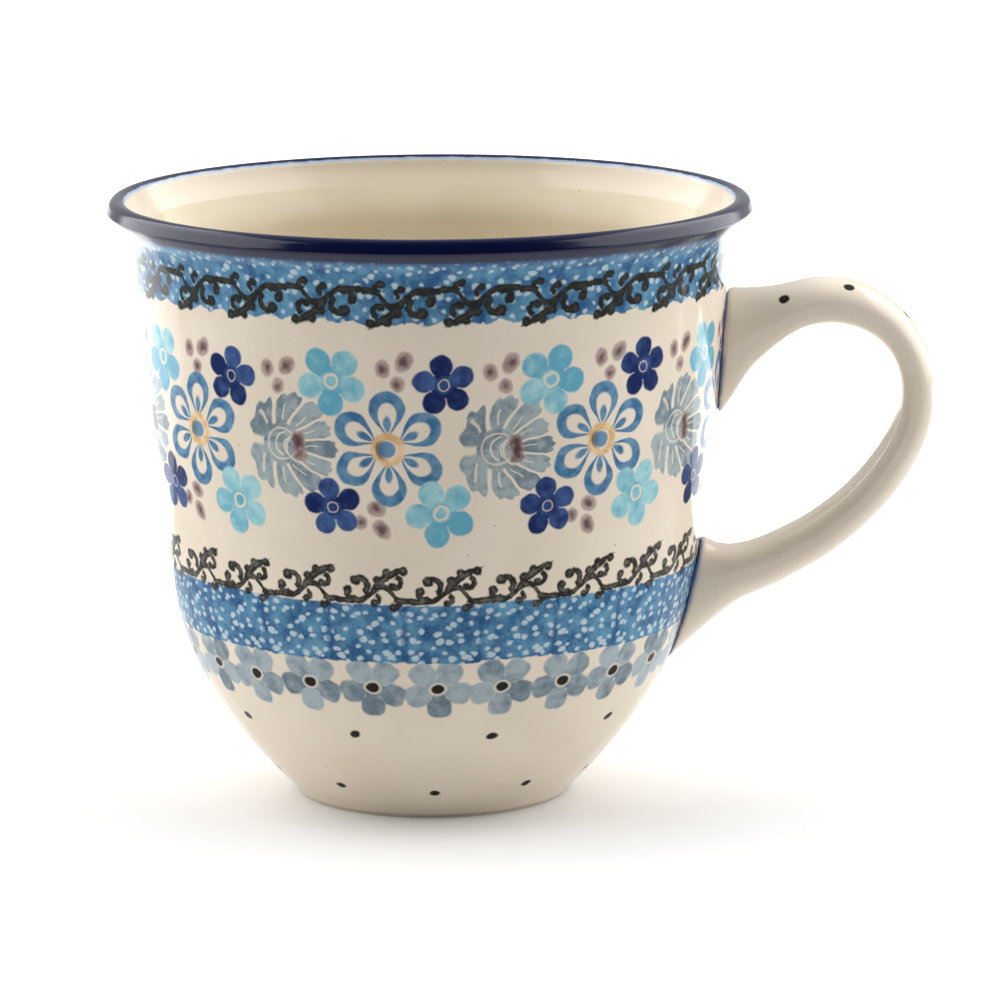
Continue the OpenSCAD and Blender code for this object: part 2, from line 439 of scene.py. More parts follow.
class Wall:
    """Where a point of the wall lies, in millimetres and radians.

    The angle is counted from the side that faces -Y and grows towards the handle.
    """

    def __init__(self, net):
        self.net = net
        position = Value(net, net.add("TexCoord").outputs["Object"])
        self.point = net.vmath("MULTIPLY", position, (1 / MM, 1 / MM, 1 / MM))
        x, y, _ = net.parts(self.point)
        self.reach = net.vmath("LENGTH", net.vector(x, y))
        self.angle = net.math("ARCTAN2", x, -y)
        attribute = net.add("Attribute", attribute_type="GEOMETRY", attribute_name="along")
        self.along = Value(net, attribute.outputs["Fac"])

    def stamps(self, count, first, row, radius=None, crowding=0.0, jitter=(0.0, 0.0), seed=0.0):
        """A row of stamps: the place in the nearest one, its number and its random numbers.

        first is the angle of one stamp in degrees, and row its length along the wall. Stamps are
        as wide as radius makes them, or keep to the wall's own radius. With crowding they stand
        closer together in front than behind.
        """
        net = self.net
        period = TAU / count
        first = math.radians(first)
        crowded_at = math.radians(CROWDED_AT)
        warped = self.angle
        if crowding:
            warped = self.angle + net.math("SINE", self.angle - crowded_at) * crowding
        cell = net.math("FLOOR", (warped - first) / period + 0.5)
        number = net.math("FLOORED_MODULO", cell, count)
        rolls = net.dice(net.vector(number, seed, count))
        middle = cell * period + first
        if crowding:
            middle = middle - net.math("SINE", middle - crowded_at) * crowding
        x = (self.angle - middle) * (radius or self.reach)
        y = self.along - row
        if jitter[0]:
            x = x + (rolls[0] - 0.5) * (2 * jitter[0])
        if jitter[1]:
            y = y + (rolls[1] - 0.5) * (2 * jitter[1])
        return net.vector(x, y), number, rolls


# ---- stamp shapes: distances in millimetres, below zero inside ----

def oval(net, place, centre, half, turn=0.0):
    """An oval of two half widths, turned by degrees."""
    p = net.vmath("SUBTRACT", place, (*centre, 0))
    if turn:
        p = net.turned(p, math.radians(-turn))
    p = net.vmath("MULTIPLY", p, (1 / half[0], 1 / half[1], 0))
    return (net.vmath("LENGTH", p) - 1) * min(half)


def knob(net, place, centre, radius):
    """A round spot."""
    return net.vmath("DISTANCE", place, (*centre, 0)) - radius


def block(net, place, centre, half, corner):
    """A box with round corners."""
    p = net.vmath("ABSOLUTE", net.vmath("SUBTRACT", place, (*centre, 0)))
    p = net.vmath("SUBTRACT", p, (half[0] - corner, half[1] - corner, 0))
    return net.vmath("LENGTH", net.vmath("MAXIMUM", p, (0, 0, 0))) - corner


def stroke(net, place, centre, radius, middle, half_span, half_width):
    """A curved stroke: the part of a ring that lies within half_span degrees of a direction."""
    p = net.vmath("SUBTRACT", place, (*centre, 0))
    ring = abs(net.vmath("LENGTH", p) - radius) - half_width
    along = net.vmath("DOT_PRODUCT", p, (*direction(middle), 0))
    return net.most(ring, radius * math.cos(math.radians(half_span)) - along)


def petal_place(net, place, count, turn=0.0):
    """The place within the nearest petal, whose length points up, and the petal's number."""
    x, y, _ = net.parts(place)
    reach = net.vmath("LENGTH", place)
    local, number = net.repeat(net.math("ARCTAN2", x, y) - turn, TAU / count, count)
    return net.math("SINE", local) * reach, net.math("COSINE", local) * reach, number


# ---- glazed ground and finish ----

def ground(net, point, cream=CREAM):
    """The cream ground: faintly mottled, with a few fine brown specks."""
    mottled = net.ramp(net.noise(point, 0.07, 3.0), 0.3, 0.7)
    color = net.mix(mottled, *cream)
    distance, (chance, size, _) = net.cells(point, 0.50)
    speck = net.inside(distance - size * 0.06 - 0.012, 0.02)
    strength = net.ramp(chance, 0.45, 0.95) * speck
    return net.mix(strength * 0.75, color, BROWN_SPECK)


def bumped(net, shader, height):
    """The finished material of a shader, roughened by a height in millimetres."""
    bump = net.add("Bump")
    bump.inputs["Strength"].default_value = 1.0
    bump.inputs["Distance"].default_value = MM
    net.feed(height, bump.inputs["Height"])
    net.tree.links.new(bump.outputs["Normal"], shader.inputs["Normal"])
    return net.finished("OutputMaterial", shader)


def glazed(net, point, color, waves=0.010, roughness=(0.045, 0.10), specular=0.12):
    """A glossy glaze over a colour, with the soft ripples and fine pitting that firing leaves."""
    shader = net.add("BsdfPrincipled")
    net.feed(color, shader.inputs["Base Color"])
    smear = net.noise(point, 0.18, 3.0)
    net.feed(net.ramp(smear, 0.3, 0.75, *roughness), shader.inputs["Roughness"])
    shader.inputs["IOR"].default_value = 1.45
    shader.inputs["Specular IOR Level"].default_value = specular
    ripple = net.noise(point, 0.16, 2.0) * waves * 3.0 + net.noise(point, 1.1, 2.0) * waves * 0.3
    return bumped(net, shader, ripple)


# ---- zones of the outside ----

def loosened(wall, place, scale=0.6, amount=0.35):
    """A stamp's place pushed about a little, so that no edge is perfect."""
    return wall.net.vmath("ADD", place, wall.net.wobble(wall.point, scale, amount))


def dots(wall, color, count, first, row, half, seed):
    """A row of small black dots, a little askew."""
    net = wall.net
    place, _, rolls = wall.stamps(count, first, row, jitter=(0.5, 0.4), seed=seed)
    place = net.turned(place, (rolls[2] - 0.5) * 1.2)
    place = loosened(wall, place, 0.9)
    return net.mix(net.inside(oval(net, place, (0, 0), half)), color, DOT)


BASE_DOTS = [
    partial(dots, count=10, first=-20.0, row=20.6, half=(0.95, 0.70), seed=1.0),
    partial(dots, count=11, first=0.0, row=7.2, half=(0.82, 0.66), seed=2.0),
]

# Small waves of a sponged band's lower edge, around the mug
SCALLOPS = 65


def sponge(wall, color, low, high, dabs, spacing, hole, hole_color, scallop=0.0):
    """A blue band dabbed on with a sponge, whose dabs differ in tone and have pale holes.

    low and high are the band's edges along the wall, spacing and hole the distance between
    holes and their smallest and added size.
    """
    net = wall.net
    place, _, rolls = wall.stamps(dabs, 3.0, low, jitter=(0.0, 0.25), seed=dabs)
    x, y, _ = net.parts(place)
    half_width = wall.reach * (math.pi / dabs)
    spot = net.vector(x / spacing[0], y / spacing[1])
    spot = net.vmath("ADD", spot, net.wobble(wall.point, 0.8, 0.5))
    distance, (size, _, _) = net.cells(spot, 1.0, 0.85, "2D")
    holes = net.inside(distance - size * hole[1] - hole[0], 0.10)
    ragged = (net.noise(wall.point, 0.9, 3.0) - 0.5) * 0.9
    bottom = y + ragged
    if scallop:
        bottom = bottom + net.math("COSINE", wall.angle * SCALLOPS) * scallop
    band = net.inside(-net.least(bottom, (high - low) - y + ragged * 0.7), 0.16)
    wander = (net.noise(wall.point, 0.35, 3.0) - 0.5) * 0.9
    seam = net.ramp(half_width - abs(x) + wander, 0.75, 0.15)
    holes = holes * (1 - seam * 0.7)
    watery = net.noise(wall.point, 0.33, 4.0, 0.6)
    tone = net.ramp(watery + seam * 0.10 + (rolls[1] - 0.5) * 0.10, 0.28, 0.72)
    fine = net.ramp(net.noise(wall.point, 2.2, 2.0), 0.25, 0.75, 0.94, 1.0)
    ink = net.mix(holes, net.mix(tone, *BAND), hole_color)
    return net.mix(band * fine, color, ink)


lower_sponge = partial(sponge, low=34.4, high=43.9, dabs=22, spacing=(1.9, 1.55),
                       hole=(0.17, 0.17), hole_color=LOWER_BAND_HOLE)
upper_sponge = partial(sponge, low=87.2, high=99.0, dabs=25, spacing=(1.85, 1.75),
                       hole=(0.14, 0.19), hole_color=BAND_HOLE, scallop=0.3)

ROW_RADIUS = 38.6
# The row is two rows of every other flower, because neighbours overlap: angle and seed of each
ROW_HALVES = ((1.8, 5.0), (16.8, 8.0))


def grey_flowers(wall, color):
    """The row of grey-blue flowers whose upper petals reach under the blue band."""
    net = wall.net
    inks = []
    hearts = []
    for first, seed in ROW_HALVES:
        place, number, rolls = wall.stamps(12, first, 30.0, ROW_RADIUS, jitter=(0.4, 0.25),
                                           seed=seed)
        place = loosened(wall, net.turned(place, (rolls[2] - 0.5) * 0.3), 0.55, 0.5)
        px, py, petal = petal_place(net, place, 5, math.pi)
        leaf = net.vector(px, py)
        lobe = block(net, leaf, (0, 3.4), (1.95, 1.85), 1.4)
        flower = net.least(lobe, block(net, leaf, (0, 1.4), (1.15, 1.5), 0.4))
        heart = oval(net, place, (0, 0), (1.02, 0.86), 12)
        roll = net.dice(net.vector(petal, number, seed))[0]
        tone = net.ramp(net.noise(wall.point, 0.5, 3.0) * 0.9 + roll * 0.40, 0.38, 0.95)
        amount = net.inside(flower, 0.24) * (1 - net.inside(heart - 0.32, 0.2) * 0.8) * 0.95
        inks.append((amount, tone))
        hearts.append(heart)
    for amount, tone in inks:
        color = net.mix(amount, color, net.mix(tone, *ROW))
    return net.mix(net.inside(net.least(*hearts)), color, DOT)


# The length of one vine stamp as it's drawn, and the middle of that length
VINE_PITCH = 11.1
VINE_MIDDLE = 5.0
# Centre, radius, middle direction, half span and half width of the vine's strokes
VINE_STROKES = [
    ((9.9, -0.6), 5.35, 129, 30, 0.50),
    ((2.75, 2.35), 1.2, 30, 85, 0.38),
    ((1.6, 1.3), 0.95, 240, 75, 0.34),
    ((8.1, 3.0), 0.85, -25, 95, 0.30),
    ((7.95, -0.35), 0.62, -10, 95, 0.34),
    ((5.1, 0.35), 0.55, -15, 90, 0.30),
]
# Centre and radius of the knobs at its ends
VINE_KNOBS = [
    ((9.35, 4.75), 0.60), ((5.5, 3.3), 0.58), ((6.95, 4.5), 0.55), ((2.1, 3.2), 0.72),
    ((0.9, 1.6), 0.62), ((7.75, 2.35), 0.52), ((7.75, -1.0), 0.55), ((4.95, -0.3), 0.48),
]


def vine(net, place):
    """One length of a scrolling vine: a flat stem, a thick rising branch, curls and knobs."""
    x, y, _ = net.parts(place)
    rise = net.ramp(x, 2.4, 6.2) * net.ramp(x, 8.9, 6.5) * 2.2
    stem = abs(y - rise) - 0.40
    strokes = [stroke(net, place, *numbers) for numbers in VINE_STROKES]
    knobs = [knob(net, place, *numbers) for numbers in VINE_KNOBS]
    return net.least(stem, *strokes, *knobs)


def vine_row(wall, color, count, first, row, radius, hangs, seed, strokes):
    """A row of vine lengths. A row that hangs has the same stamp turned upside down."""
    net = wall.net
    place, _, _ = wall.stamps(count, first, row, jitter=(0.0, 0.15), seed=seed)
    across = VINE_PITCH / (TAU / count * radius)
    if hangs:
        place = net.vmath("MULTIPLY", place, (-1, -1, 0))
    x, y, _ = net.parts(place)
    place = net.vector(x * across + VINE_MIDDLE, y * across)
    place = loosened(wall, place, 0.8, 0.3)
    rough = (net.noise(wall.point, 1.6, 2.0) - 0.5) * 0.45
    line = vine(net, place) - 0.12 + rough
    tone = net.ramp(net.noise(wall.point, 0.9, 2.0) * 0.8 + line * 0.4, 0.02, 0.36)
    return net.mix(net.inside(line), color, net.mix(tone, *strokes))


lower_vines = partial(vine_row, count=24, first=3.9, row=44.4, radius=42.6, hangs=False,
                      seed=4.0, strokes=LOWER_VINE)
upper_vines = partial(vine_row, count=25, first=-4.5, row=92.2, radius=46.8, hangs=True,
                      seed=6.0, strokes=UPPER_VINE)

# Length along the wall at which the brushed lip starts
LIP_AT = 96.7


def lip_glaze():
    """The brushed cobalt lip, from the blue band to just inside the cup."""
    net = Net("lip_glaze")
    wall = Wall(net)
    color = ground(net, wall.point)
    color = upper_sponge(wall, color)
    s = wall.along + (net.noise(wall.point, 0.45, 3.0) - 0.5) * 0.5
    color = net.mix(net.ramp(s, LIP_AT - 0.8, LIP_AT + 0.3) * 0.7, color, BAND[1])
    color = net.mix(net.ramp(s, INSIDE_AT - 1.6, INSIDE_AT - 1.2), color, LIP_FRINGE)
    color = net.mix(net.ramp(s, INSIDE_AT - 0.8, INSIDE_AT - 0.2), color, CREAM[0])
    coat = net.ramp(s, LIP_AT, LIP_AT + 0.8) * net.ramp(s, INSIDE_AT - 0.75, INSIDE_AT - 1.15)
    color = net.mix(coat, color, LIP_NAVY)
    return glazed(net, wall.point, color, waves=0.006, roughness=(0.14, 0.20), specular=0.5)


# ---- the flower field ----

# Every flower keeps one size around the field and stands closer to the next in front
FIELD = dict(radius=44.6, crowding=0.0576)


def daisies(wall, color):
    """Blue outlined flowers with six petals and an orange ring."""
    net = wall.net
    place, _, rolls = wall.stamps(8, -8.7, 68.3, jitter=(0.3, 0.3), seed=11.0, **FIELD)
    place = loosened(wall, net.turned(place, (rolls[2] - 0.5) * 0.12), 0.45, 0.4)
    px, py, _ = petal_place(net, place, 6)
    narrow = net.ramp(py, 1.6, 6.4, 0.42, 1.0)
    leaf = net.vector(px / narrow, py)
    outer = oval(net, leaf, (0, 5.55), (2.75, 3.3))
    inner = oval(net, leaf, (0, 4.75), (1.55, 2.35))
    pointed = net.vector(px / net.ramp(py, 2.4, 4.4, 0.6, 1.0), py)
    drop = oval(net, pointed, (0, 3.85), (0.62, 1.3))
    line = net.most(outer, -inner)
    tone = net.ramp(net.noise(wall.point, 0.6, 3.0), 0.3, 0.7)
    reach = net.vmath("LENGTH", place)
    clear = net.ramp(reach, 2.0, 2.5)
    color = net.mix(net.inside(net.least(line, drop)) * clear, color, net.mix(tone, *DAISY))
    mottle = net.noise(wall.point, 0.8, 2.0)
    ring = abs(reach - 2.0) - (mottle * 0.5 + 0.25)
    orange = net.mix(net.ramp(mottle, 0.3, 0.7), *ORANGE)
    color = net.mix(net.inside(ring, 0.28) * 0.92, color, orange)
    shade = knob(net, place, (-0.3, -0.05), 1.55)
    left_side = net.ramp(net.parts(place)[0], 0.2, -1.5)
    color = net.mix(net.inside(shade, 0.25) * left_side * 0.8, color, UPPER_VINE[0])
    disc = knob(net, place, (-0.1, 0), 1.25)
    return net.mix(net.inside(disc) * 0.95, color, net.mix(left_side * 0.7 + 0.2, *DAISY))


def many_petals(wall, color):
    """Grey flowers of notched petals around a bud left of their middle, with a dark spot."""
    net = wall.net
    place, _, rolls = wall.stamps(8, 15.0, 67.8, jitter=(0.25, 0.25), seed=12.0, **FIELD)
    place = loosened(wall, net.turned(place, (rolls[2] - 0.5) * 0.14), 0.5, 0.5)
    x, y, _ = net.parts(place)
    bud_at = (-1.3, 0.2)
    root = net.vector(x - bud_at[0], y - bud_at[1])
    root_x, root_y, _ = net.parts(root)
    rise = net.vmath("LENGTH", root)
    angle = net.math("ARCTAN2", root_y, root_x)
    curl = net.math("SINE", angle) * (rise * 0.06)
    spread = angle + net.math("SINE", angle) * 0.32 + curl
    count = 9
    local, petal = net.repeat(spread, TAU / count, count)
    u = abs(local / (TAU / count))
    width = rise * (TAU / count)
    roll = net.dice(net.vector(petal, 7.0, 2.0))
    notch = net.math("COSINE", local * (count * 3.0)) * net.ramp(root_x, 3.0, -3.0, 0.20, 0.34)
    reach = net.vmath("LENGTH", net.vector(x, y * 0.93))
    tip = (roll[0] - 0.5) * 0.8 + 7.6 - u * u * u * 13.0 + notch
    gap = 0.28 - (0.5 - u) * width
    bend = net.math("SINE", rise * 0.9 + roll[2] * 6.0) * 0.35
    vein = net.most(abs(local * rise - bend) - 0.12, 3.7 - rise, rise - 6.0)
    leaf = net.most(reach - tip, 2.5 - rise, net.least(gap, rise - 3.2), -vein)
    bud = rise - 2.3
    folds = net.least(
        stroke(net, root, (0.9, 0.0), 1.9, 175, 75, 0.13),
        stroke(net, root, (1.9, -0.3), 1.5, 150, 80, 0.13),
    )
    rim = stroke(net, place, (1.7, -0.1), 2.2, 180, 100, 0.15)
    heart = net.most(bud, -folds)
    tone = net.ramp(net.noise(wall.point, 0.7, 3.0) + (roll[1] - 0.5) * 0.3, 0.25, 0.75)
    flower = net.most(net.least(leaf, heart), -rim)
    color = net.mix(net.inside(flower, 0.16), color, net.mix(tone, *GREY_PETAL))
    spot = block(net, net.turned(place, -0.12), (1.55, -0.1), (1.15, 2.2), 0.9)
    mottle = net.ramp(net.noise(wall.point, 0.8, 3.0) - spot * 0.25, 0.3, 0.85)
    return net.mix(net.inside(spot, 0.3) * 0.92, color, net.mix(mottle, *PURPLE))


# Takes the distances of a flower drawn at size one back to millimetres
PETAL_REACH = 4.8


def five_petals(wall, color, first, row, odd_row, seed):
    """A row of navy and larger turquoise flowers in turn, the turquoise odd_row higher."""
    net = wall.net
    place, number, rolls = wall.stamps(16, first, row, jitter=(0.3, 0.4), seed=seed, **FIELD)
    odd = net.math("FLOORED_MODULO", number, 2)
    place = net.vmath("ADD", place, net.vector(0.0, odd * -odd_row))
    size = odd * 0.75 + 4.65
    place = loosened(wall, net.turned(place, (rolls[2] - 0.5) * 0.5 + odd * 0.6), 0.55, 0.45)
    unit = net.vmath("DIVIDE", place, net.vector(size, size, 1.0))
    px, py, petal = petal_place(net, unit, 5)
    leaf = net.vector(px, py)
    lobes = oval(net, leaf, (0, 0.63), (0.36, 0.37))
    core = net.vmath("LENGTH", unit)
    flower = net.least(lobes, core - 0.44) * PETAL_REACH
    ring = (abs(core - 0.18 - odd * 0.02) - 0.022 - odd * 0.018) * PETAL_REACH
    roll = net.dice(net.vector(petal, number, seed))
    own = net.mix(net.ramp(core, 0.26, 0.34), (0.5, 0.5, 0.5, 1), net.vector(roll[0], 0.0))
    tone = net.ramp(net.noise(wall.point, 0.5, 3.0) * 0.9 + net.parts(own)[0] * 0.5, 0.30, 0.95)
    ink = net.mix(odd, net.mix(tone, *NAVY_PETAL), net.mix(tone, *TURQUOISE))
    amount = net.inside(flower, 0.18) * (1 - net.inside(ring, 0.1) * (odd * 0.2 + 0.6))
    return net.mix(amount, color, ink)


def berries(wall, color, count, first, row, spots, seed, shift=None):
    """Groups of three dabs, darker in their middles. Every other group is shifted."""
    net = wall.net
    place, number, rolls = wall.stamps(count, first, row, jitter=(0.3, 0.3), seed=seed, **FIELD)
    if shift:
        odd = net.math("FLOORED_MODULO", number, 2)
        place = net.vmath("SUBTRACT", place, net.vector(odd * shift[0], odd * shift[1]))
    place = loosened(wall, net.turned(place, (rolls[2] - 0.5) * 0.3), 0.7, 0.5)
    dabs = net.least(*[oval(net, place, centre, half, turn) for centre, half, turn in spots])
    tone = net.ramp(net.noise(wall.point, 0.9, 2.0) * 0.7 - dabs * 0.6, 0.40, 0.98)
    return net.mix(net.inside(dabs, 0.22) * 0.92, color, net.mix(tone, *PURPLE))


# Middle, half widths and turn of each dab
TOP_BERRIES = [
    ((-1.7, 0.5), (1.1, 1.4), 5),
    ((1.5, 1.4), (1.25, 1.65), -32),
    ((0.25, -1.9), (1.05, 1.2), 0),
]
LOW_BERRIES = [
    ((0.75, 1.7), (1.5, 1.2), -20),
    ((-1.9, -0.2), (1.05, 1.15), 0),
    ((1.2, -1.55), (1.2, 1.65), 35),
]

# From the grey flowers at the back to the small ones in front
FLOWERS = [
    many_petals,
    partial(berries, count=16, first=-7.8, row=80.0, spots=TOP_BERRIES, seed=15.0,
            shift=(-0.9, -0.9)),
    partial(berries, count=8, first=-12.5, row=57.0, spots=LOW_BERRIES, seed=16.0),
    daisies,
    partial(five_petals, first=1.8, row=78.0, odd_row=0.3, seed=13.0),
    partial(five_petals, first=-21.0, row=58.7, odd_row=-0.3, seed=14.0),
]


def zone_glaze(name, layers):
    """One zone of the outside: the cream ground, layers of decoration, and glaze over them."""
    net = Net(name)
    wall = Wall(net)
    color = ground(net, wall.point)
    for layer in layers:
        color = layer(wall, color)
    return glazed(net, wall.point, color)


# ---- inside, clay and handle finishes ----

def inner_glaze():
    net = Net("inner_glaze_surface")
    wall = Wall(net)
    # The cream painted darker and yellower, as painted shade, for the inside of the cup and the
    # glazed underside
    return glazed(net, wall.point, ground(net, wall.point, SHADED_INNER_CREAM), waves=0.014)


def bare_clay(name):
    """Unglazed stoneware: matt, a little darker, with a sandy grain."""
    net = Net(name)
    wall = Wall(net)
    grain = net.noise(wall.point, 3.0, 4.0, 0.7)
    color = net.mix(net.ramp(grain, 0.35, 0.7), srgb(188, 172, 150), srgb(214, 201, 182))
    shader = net.add("BsdfPrincipled")
    net.feed(color, shader.inputs["Base Color"])
    net.feed(net.ramp(grain, 0.3, 0.7, 0.75, 0.92), shader.inputs["Roughness"])
    return bumped(net, shader, grain * 0.05)


HANDLE_DOT_R = 0.88


def handle_glaze(dots_at):
    """Cream glaze with small black dots around given points."""
    net = Net("handle_glaze_surface")
    wall = Wall(net)
    color = ground(net, wall.point)
    pushed = loosened(wall, wall.point, 0.9, 0.4)
    spots = [net.vmath("DISTANCE", pushed, tuple(point)) for point in dots_at]
    color = net.mix(net.inside(net.least(*spots) - HANDLE_DOT_R), color, DOT)
    return glazed(net, wall.point, color, specular=0.45)


def collar_glaze():
    """The joint of the handle, a loose cobalt line. Here along counts from the wall's side."""
    net = Net("collar_glaze")
    wall = Wall(net)
    color = ground(net, wall.point)
    wander = (net.noise(wall.point, 0.25, 3.0) - 0.5) * 1.1
    line = net.ramp(wall.along + wander, 1.8, 1.3)
    _, y, z = net.parts(wall.point)
    streak = net.noise(net.vector(wall.along * 2.2, z * 0.12, y * 0.12), 1.0, 2.0)
    color = net.mix(line * 0.95, color, net.mix(net.ramp(streak, 0.30, 0.60), *COBALT))
    return glazed(net, wall.point, color)


# ---- bowl ----

full_grid = lathe(outline, along)
full_normals = grid_normals(full_grid)


def ring_piece(name, low, high, material, node, tip=False):
    """The stretch of the bowl between two lengths along the wall. A tip ends it in a point."""
    first = int(np.argmin(np.abs(along - low)))
    last = int(np.argmin(np.abs(along - high)))
    rows = slice(first, last + 1)
    values = {"along": along[rows]}
    piece = grid_piece(name, full_grid[rows], full_normals[rows], material, values, (False, tip))
    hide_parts(node)
    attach(piece, "root")


# The lengths along the wall at which one zone's piece ends and the next starts
ROW_FROM, VINE_FROM, FIELD_FROM, BAND_FROM, LIP_FROM = 24.0, 39.5, 52.0, 86.0, 95.5
INSIDE_FROM = INSIDE_AT + 4.0

for zone, low, high, layers in (
    ("base_wall", 0, ROW_FROM, BASE_DOTS),
    ("lower_band", ROW_FROM, VINE_FROM, [grey_flowers, lower_sponge]),
    ("lower_vine", VINE_FROM, FIELD_FROM, [lower_sponge, lower_vines]),
    ("flower_field", FIELD_FROM, BAND_FROM, FLOWERS),
    ("upper_band", BAND_FROM, LIP_FROM, [upper_sponge, upper_vines]),
):
    glaze = zone_glaze(zone + "_glaze", layers)
    ring_piece(zone, low, high, glaze, "outer_glaze")
ring_piece("lip", LIP_FROM, INSIDE_FROM, lip_glaze(), "rim_glaze")
ring_piece("inside", INSIDE_FROM, along[-1], inner_glaze(), "inner_glaze", tip=True)


def clay_outline():
    """The clay under the glaze, closed through the foot ring and the hollow below the floor."""
    clay = inset(outline, GLAZE_T)
    clay[-1, 0] = 0
    forwards = np.sum(np.diff(clay, axis=0) * np.diff(outline, axis=0), 1) > 0
    kept = np.concatenate([[True], forwards])
    foot_r = clay[0, 0]
    hollow_r = foot_r - FOOT_RING_W
    underside = np.array([
        [0, FOOT_HOLLOW], [hollow_r - 2.4, FOOT_HOLLOW], [hollow_r - 1.5, FOOT_HOLLOW - 0.25],
        [hollow_r - 0.7, 1.1], [hollow_r - 0.3, 0.35], [hollow_r + 0.1, 0.08], [hollow_r + 0.5, 0],
        [foot_r - 0.75, 0], [foot_r - 0.35, 0.06], [foot_r - 0.1, 0.22], [foot_r - 0.02, 0.5],
    ])
    lengths = np.concatenate([np.zeros(len(underside)), along[kept]])
    return np.concatenate([underside, clay[kept]]), lengths


clay_points, clay_lengths = clay_outline()
clay_grid = lathe(clay_points, clay_lengths)
clay_body = grid_piece("clay_body", clay_grid, grid_normals(clay_grid), bare_clay("bare_clay"),
                       tips=(True, True))
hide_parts("mug_body")
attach(clay_body, "root")


# ---- handle ----

# Matching points on the handle's back and finger side, counted outwards from the neck and up from
# the table, in millimetres. The first and last few lie within the wall.
BACK_SIDE = np.array([
    [-3.5, 80.2], [0.4, 79.1], [6.6, 79.3], [14, 80.6], [21.2, 79.5], [28, 74.2], [32.2, 65.5],
    [31.3, 56.4], [25.9, 46.7], [17.4, 38.4], [8.2, 32.8], [1.6, 29.8], [-3.4, 25.9], [-8, 21.8],
    [-11, 19],
])
FINGER_SIDE = np.array([
    [-4, 57], [-0.3, 60.8], [4, 67.2], [11, 72.6], [18, 73.2], [23.8, 69.8], [26, 63.4],
    [24.4, 56.2], [19.4, 49], [12.9, 43.5], [5.6, 39.7], [0.8, 38.4], [-2.6, 39], [-5.8, 41.2],
    [-8.5, 44],
])
HANDLE_W = 12.6
HANDLE_FLARE_W = 2.2
FINGER_SIDE_SQUARENESS = 0.6
SECTION_SIDES = 48


def smooth_through(points, places):
    """Points of the smooth curve through a list of points, at places counted in list steps."""
    last = len(points) - 1
    i = np.minimum(places.astype(int), last - 1)
    t = (places - i)[:, None]
    a, b = points[np.maximum(i - 1, 0)], points[i]
    c, d = points[i + 1], points[np.minimum(i + 2, last)]
    return 0.5 * (2 * b + (c - a) * t + (2 * a - 5 * b + 4 * c - d) * t**2
                  + (3 * b - a - 3 * c + d) * t**3)


def handle_points(places, turns):
    """Points of the handle's skin, for each place along it and each angle around its section."""
    back, finger = smooth_through(BACK_SIDE, places), smooth_through(FINGER_SIDE, places)
    back, finger = back + (NECK[0], 0), finger + (NECK[0], 0)
    half = np.linalg.norm(back - finger, axis=1)[:, None] / 2
    across = (back - finger) / (2 * half)
    share = places / (len(BACK_SIDE) - 1)
    wide = HANDLE_W / 2 + HANDLE_FLARE_W / 2 * np.abs(2 * share - 1) ** 6
    cosine = np.cos(turns)
    bend = np.where(cosine >= 0, cosine, -np.abs(cosine) ** FINGER_SIDE_SQUARENESS)
    flat = ((back + finger) / 2)[:, None] + (across * half)[:, None] * bend[None, :, None]
    return np.stack([flat[..., 0], wide[:, None] * np.sin(turns)[None], flat[..., 1]], 2)


def on_wall(points, depth):
    """The points moved sideways until they lie a depth under the wall's surface."""
    reach = np.linalg.norm(points[..., :2], axis=-1)
    scale = (wall_radius(points[..., 2]) - depth) / reach
    return np.stack([points[..., 0] * scale, points[..., 1] * scale, points[..., 2]], -1)


def unit(vectors):
    """The vectors at length one."""
    return vectors / np.linalg.norm(vectors, axis=-1, keepdims=True)


# How far a collar reaches along the handle and along the wall from the corner between them
COLLAR_OUT = 1.3
COLLAR_ON_WALL = 1.9
COLLAR_ROWS = 11
SKIN_ROWS = 110
# Points along the handle among which its corners with the wall are found
FINE_ROWS = 1401


def collar(ends, corners, outwards):
    """Rows of points from the wall, through the corner, to the handle's skin, and their lengths."""
    around = np.roll(corners, -1, axis=0) - np.roll(corners, 1, axis=0)
    radial = unit(corners * (1, 1, 0))
    sideways = unit(np.cross(around, radial)) * outwards
    feet = on_wall(corners + COLLAR_ON_WALL * sideways, 0.03)
    corners = on_wall(corners + 0.15 * sideways, -0.02)
    t = np.linspace(0, 1, COLLAR_ROWS)[:, None, None]
    rows = (1 - t) ** 2 * feet + 2 * t * (1 - t) * corners + t**2 * ends
    steps = np.linalg.norm(np.diff(rows, axis=0), axis=2).mean(1)
    return rows, np.concatenate([[0], np.cumsum(steps)])


def handle_grid():
    """The handle from wall to wall as one grid, and the lengths along its two collars."""
    turns = np.arange(SECTION_SIDES) * TAU / SECTION_SIDES
    fine = np.linspace(0, len(BACK_SIDE) - 1, FINE_ROWS)
    points = handle_points(fine, turns)
    clear = np.linalg.norm(points[..., :2], axis=2) - wall_radius(points[..., 2]) > 0
    skin = np.zeros((SKIN_ROWS, SECTION_SIDES, 3))
    corners = np.zeros((2, SECTION_SIDES, 3))
    for k in range(SECTION_SIDES):
        free = np.nonzero(clear[:, k])[0]
        line = points[free[0]:free[-1] + 1, k]
        lengths = lengths_along(line)
        at = np.linspace(COLLAR_OUT, lengths[-1] - COLLAR_OUT, SKIN_ROWS)
        skin[:, k] = np.stack([np.interp(at, lengths, line[:, axis]) for axis in range(3)], 1)
        corners[:, k] = line[0], line[-1]
    upper, upper_lengths = collar(skin[0], corners[0], 1)
    lower, lower_lengths = collar(skin[-1], corners[1], -1)
    grid = np.concatenate([upper[:-1], skin, lower[-2::-1]])
    return grid, upper_lengths, lower_lengths


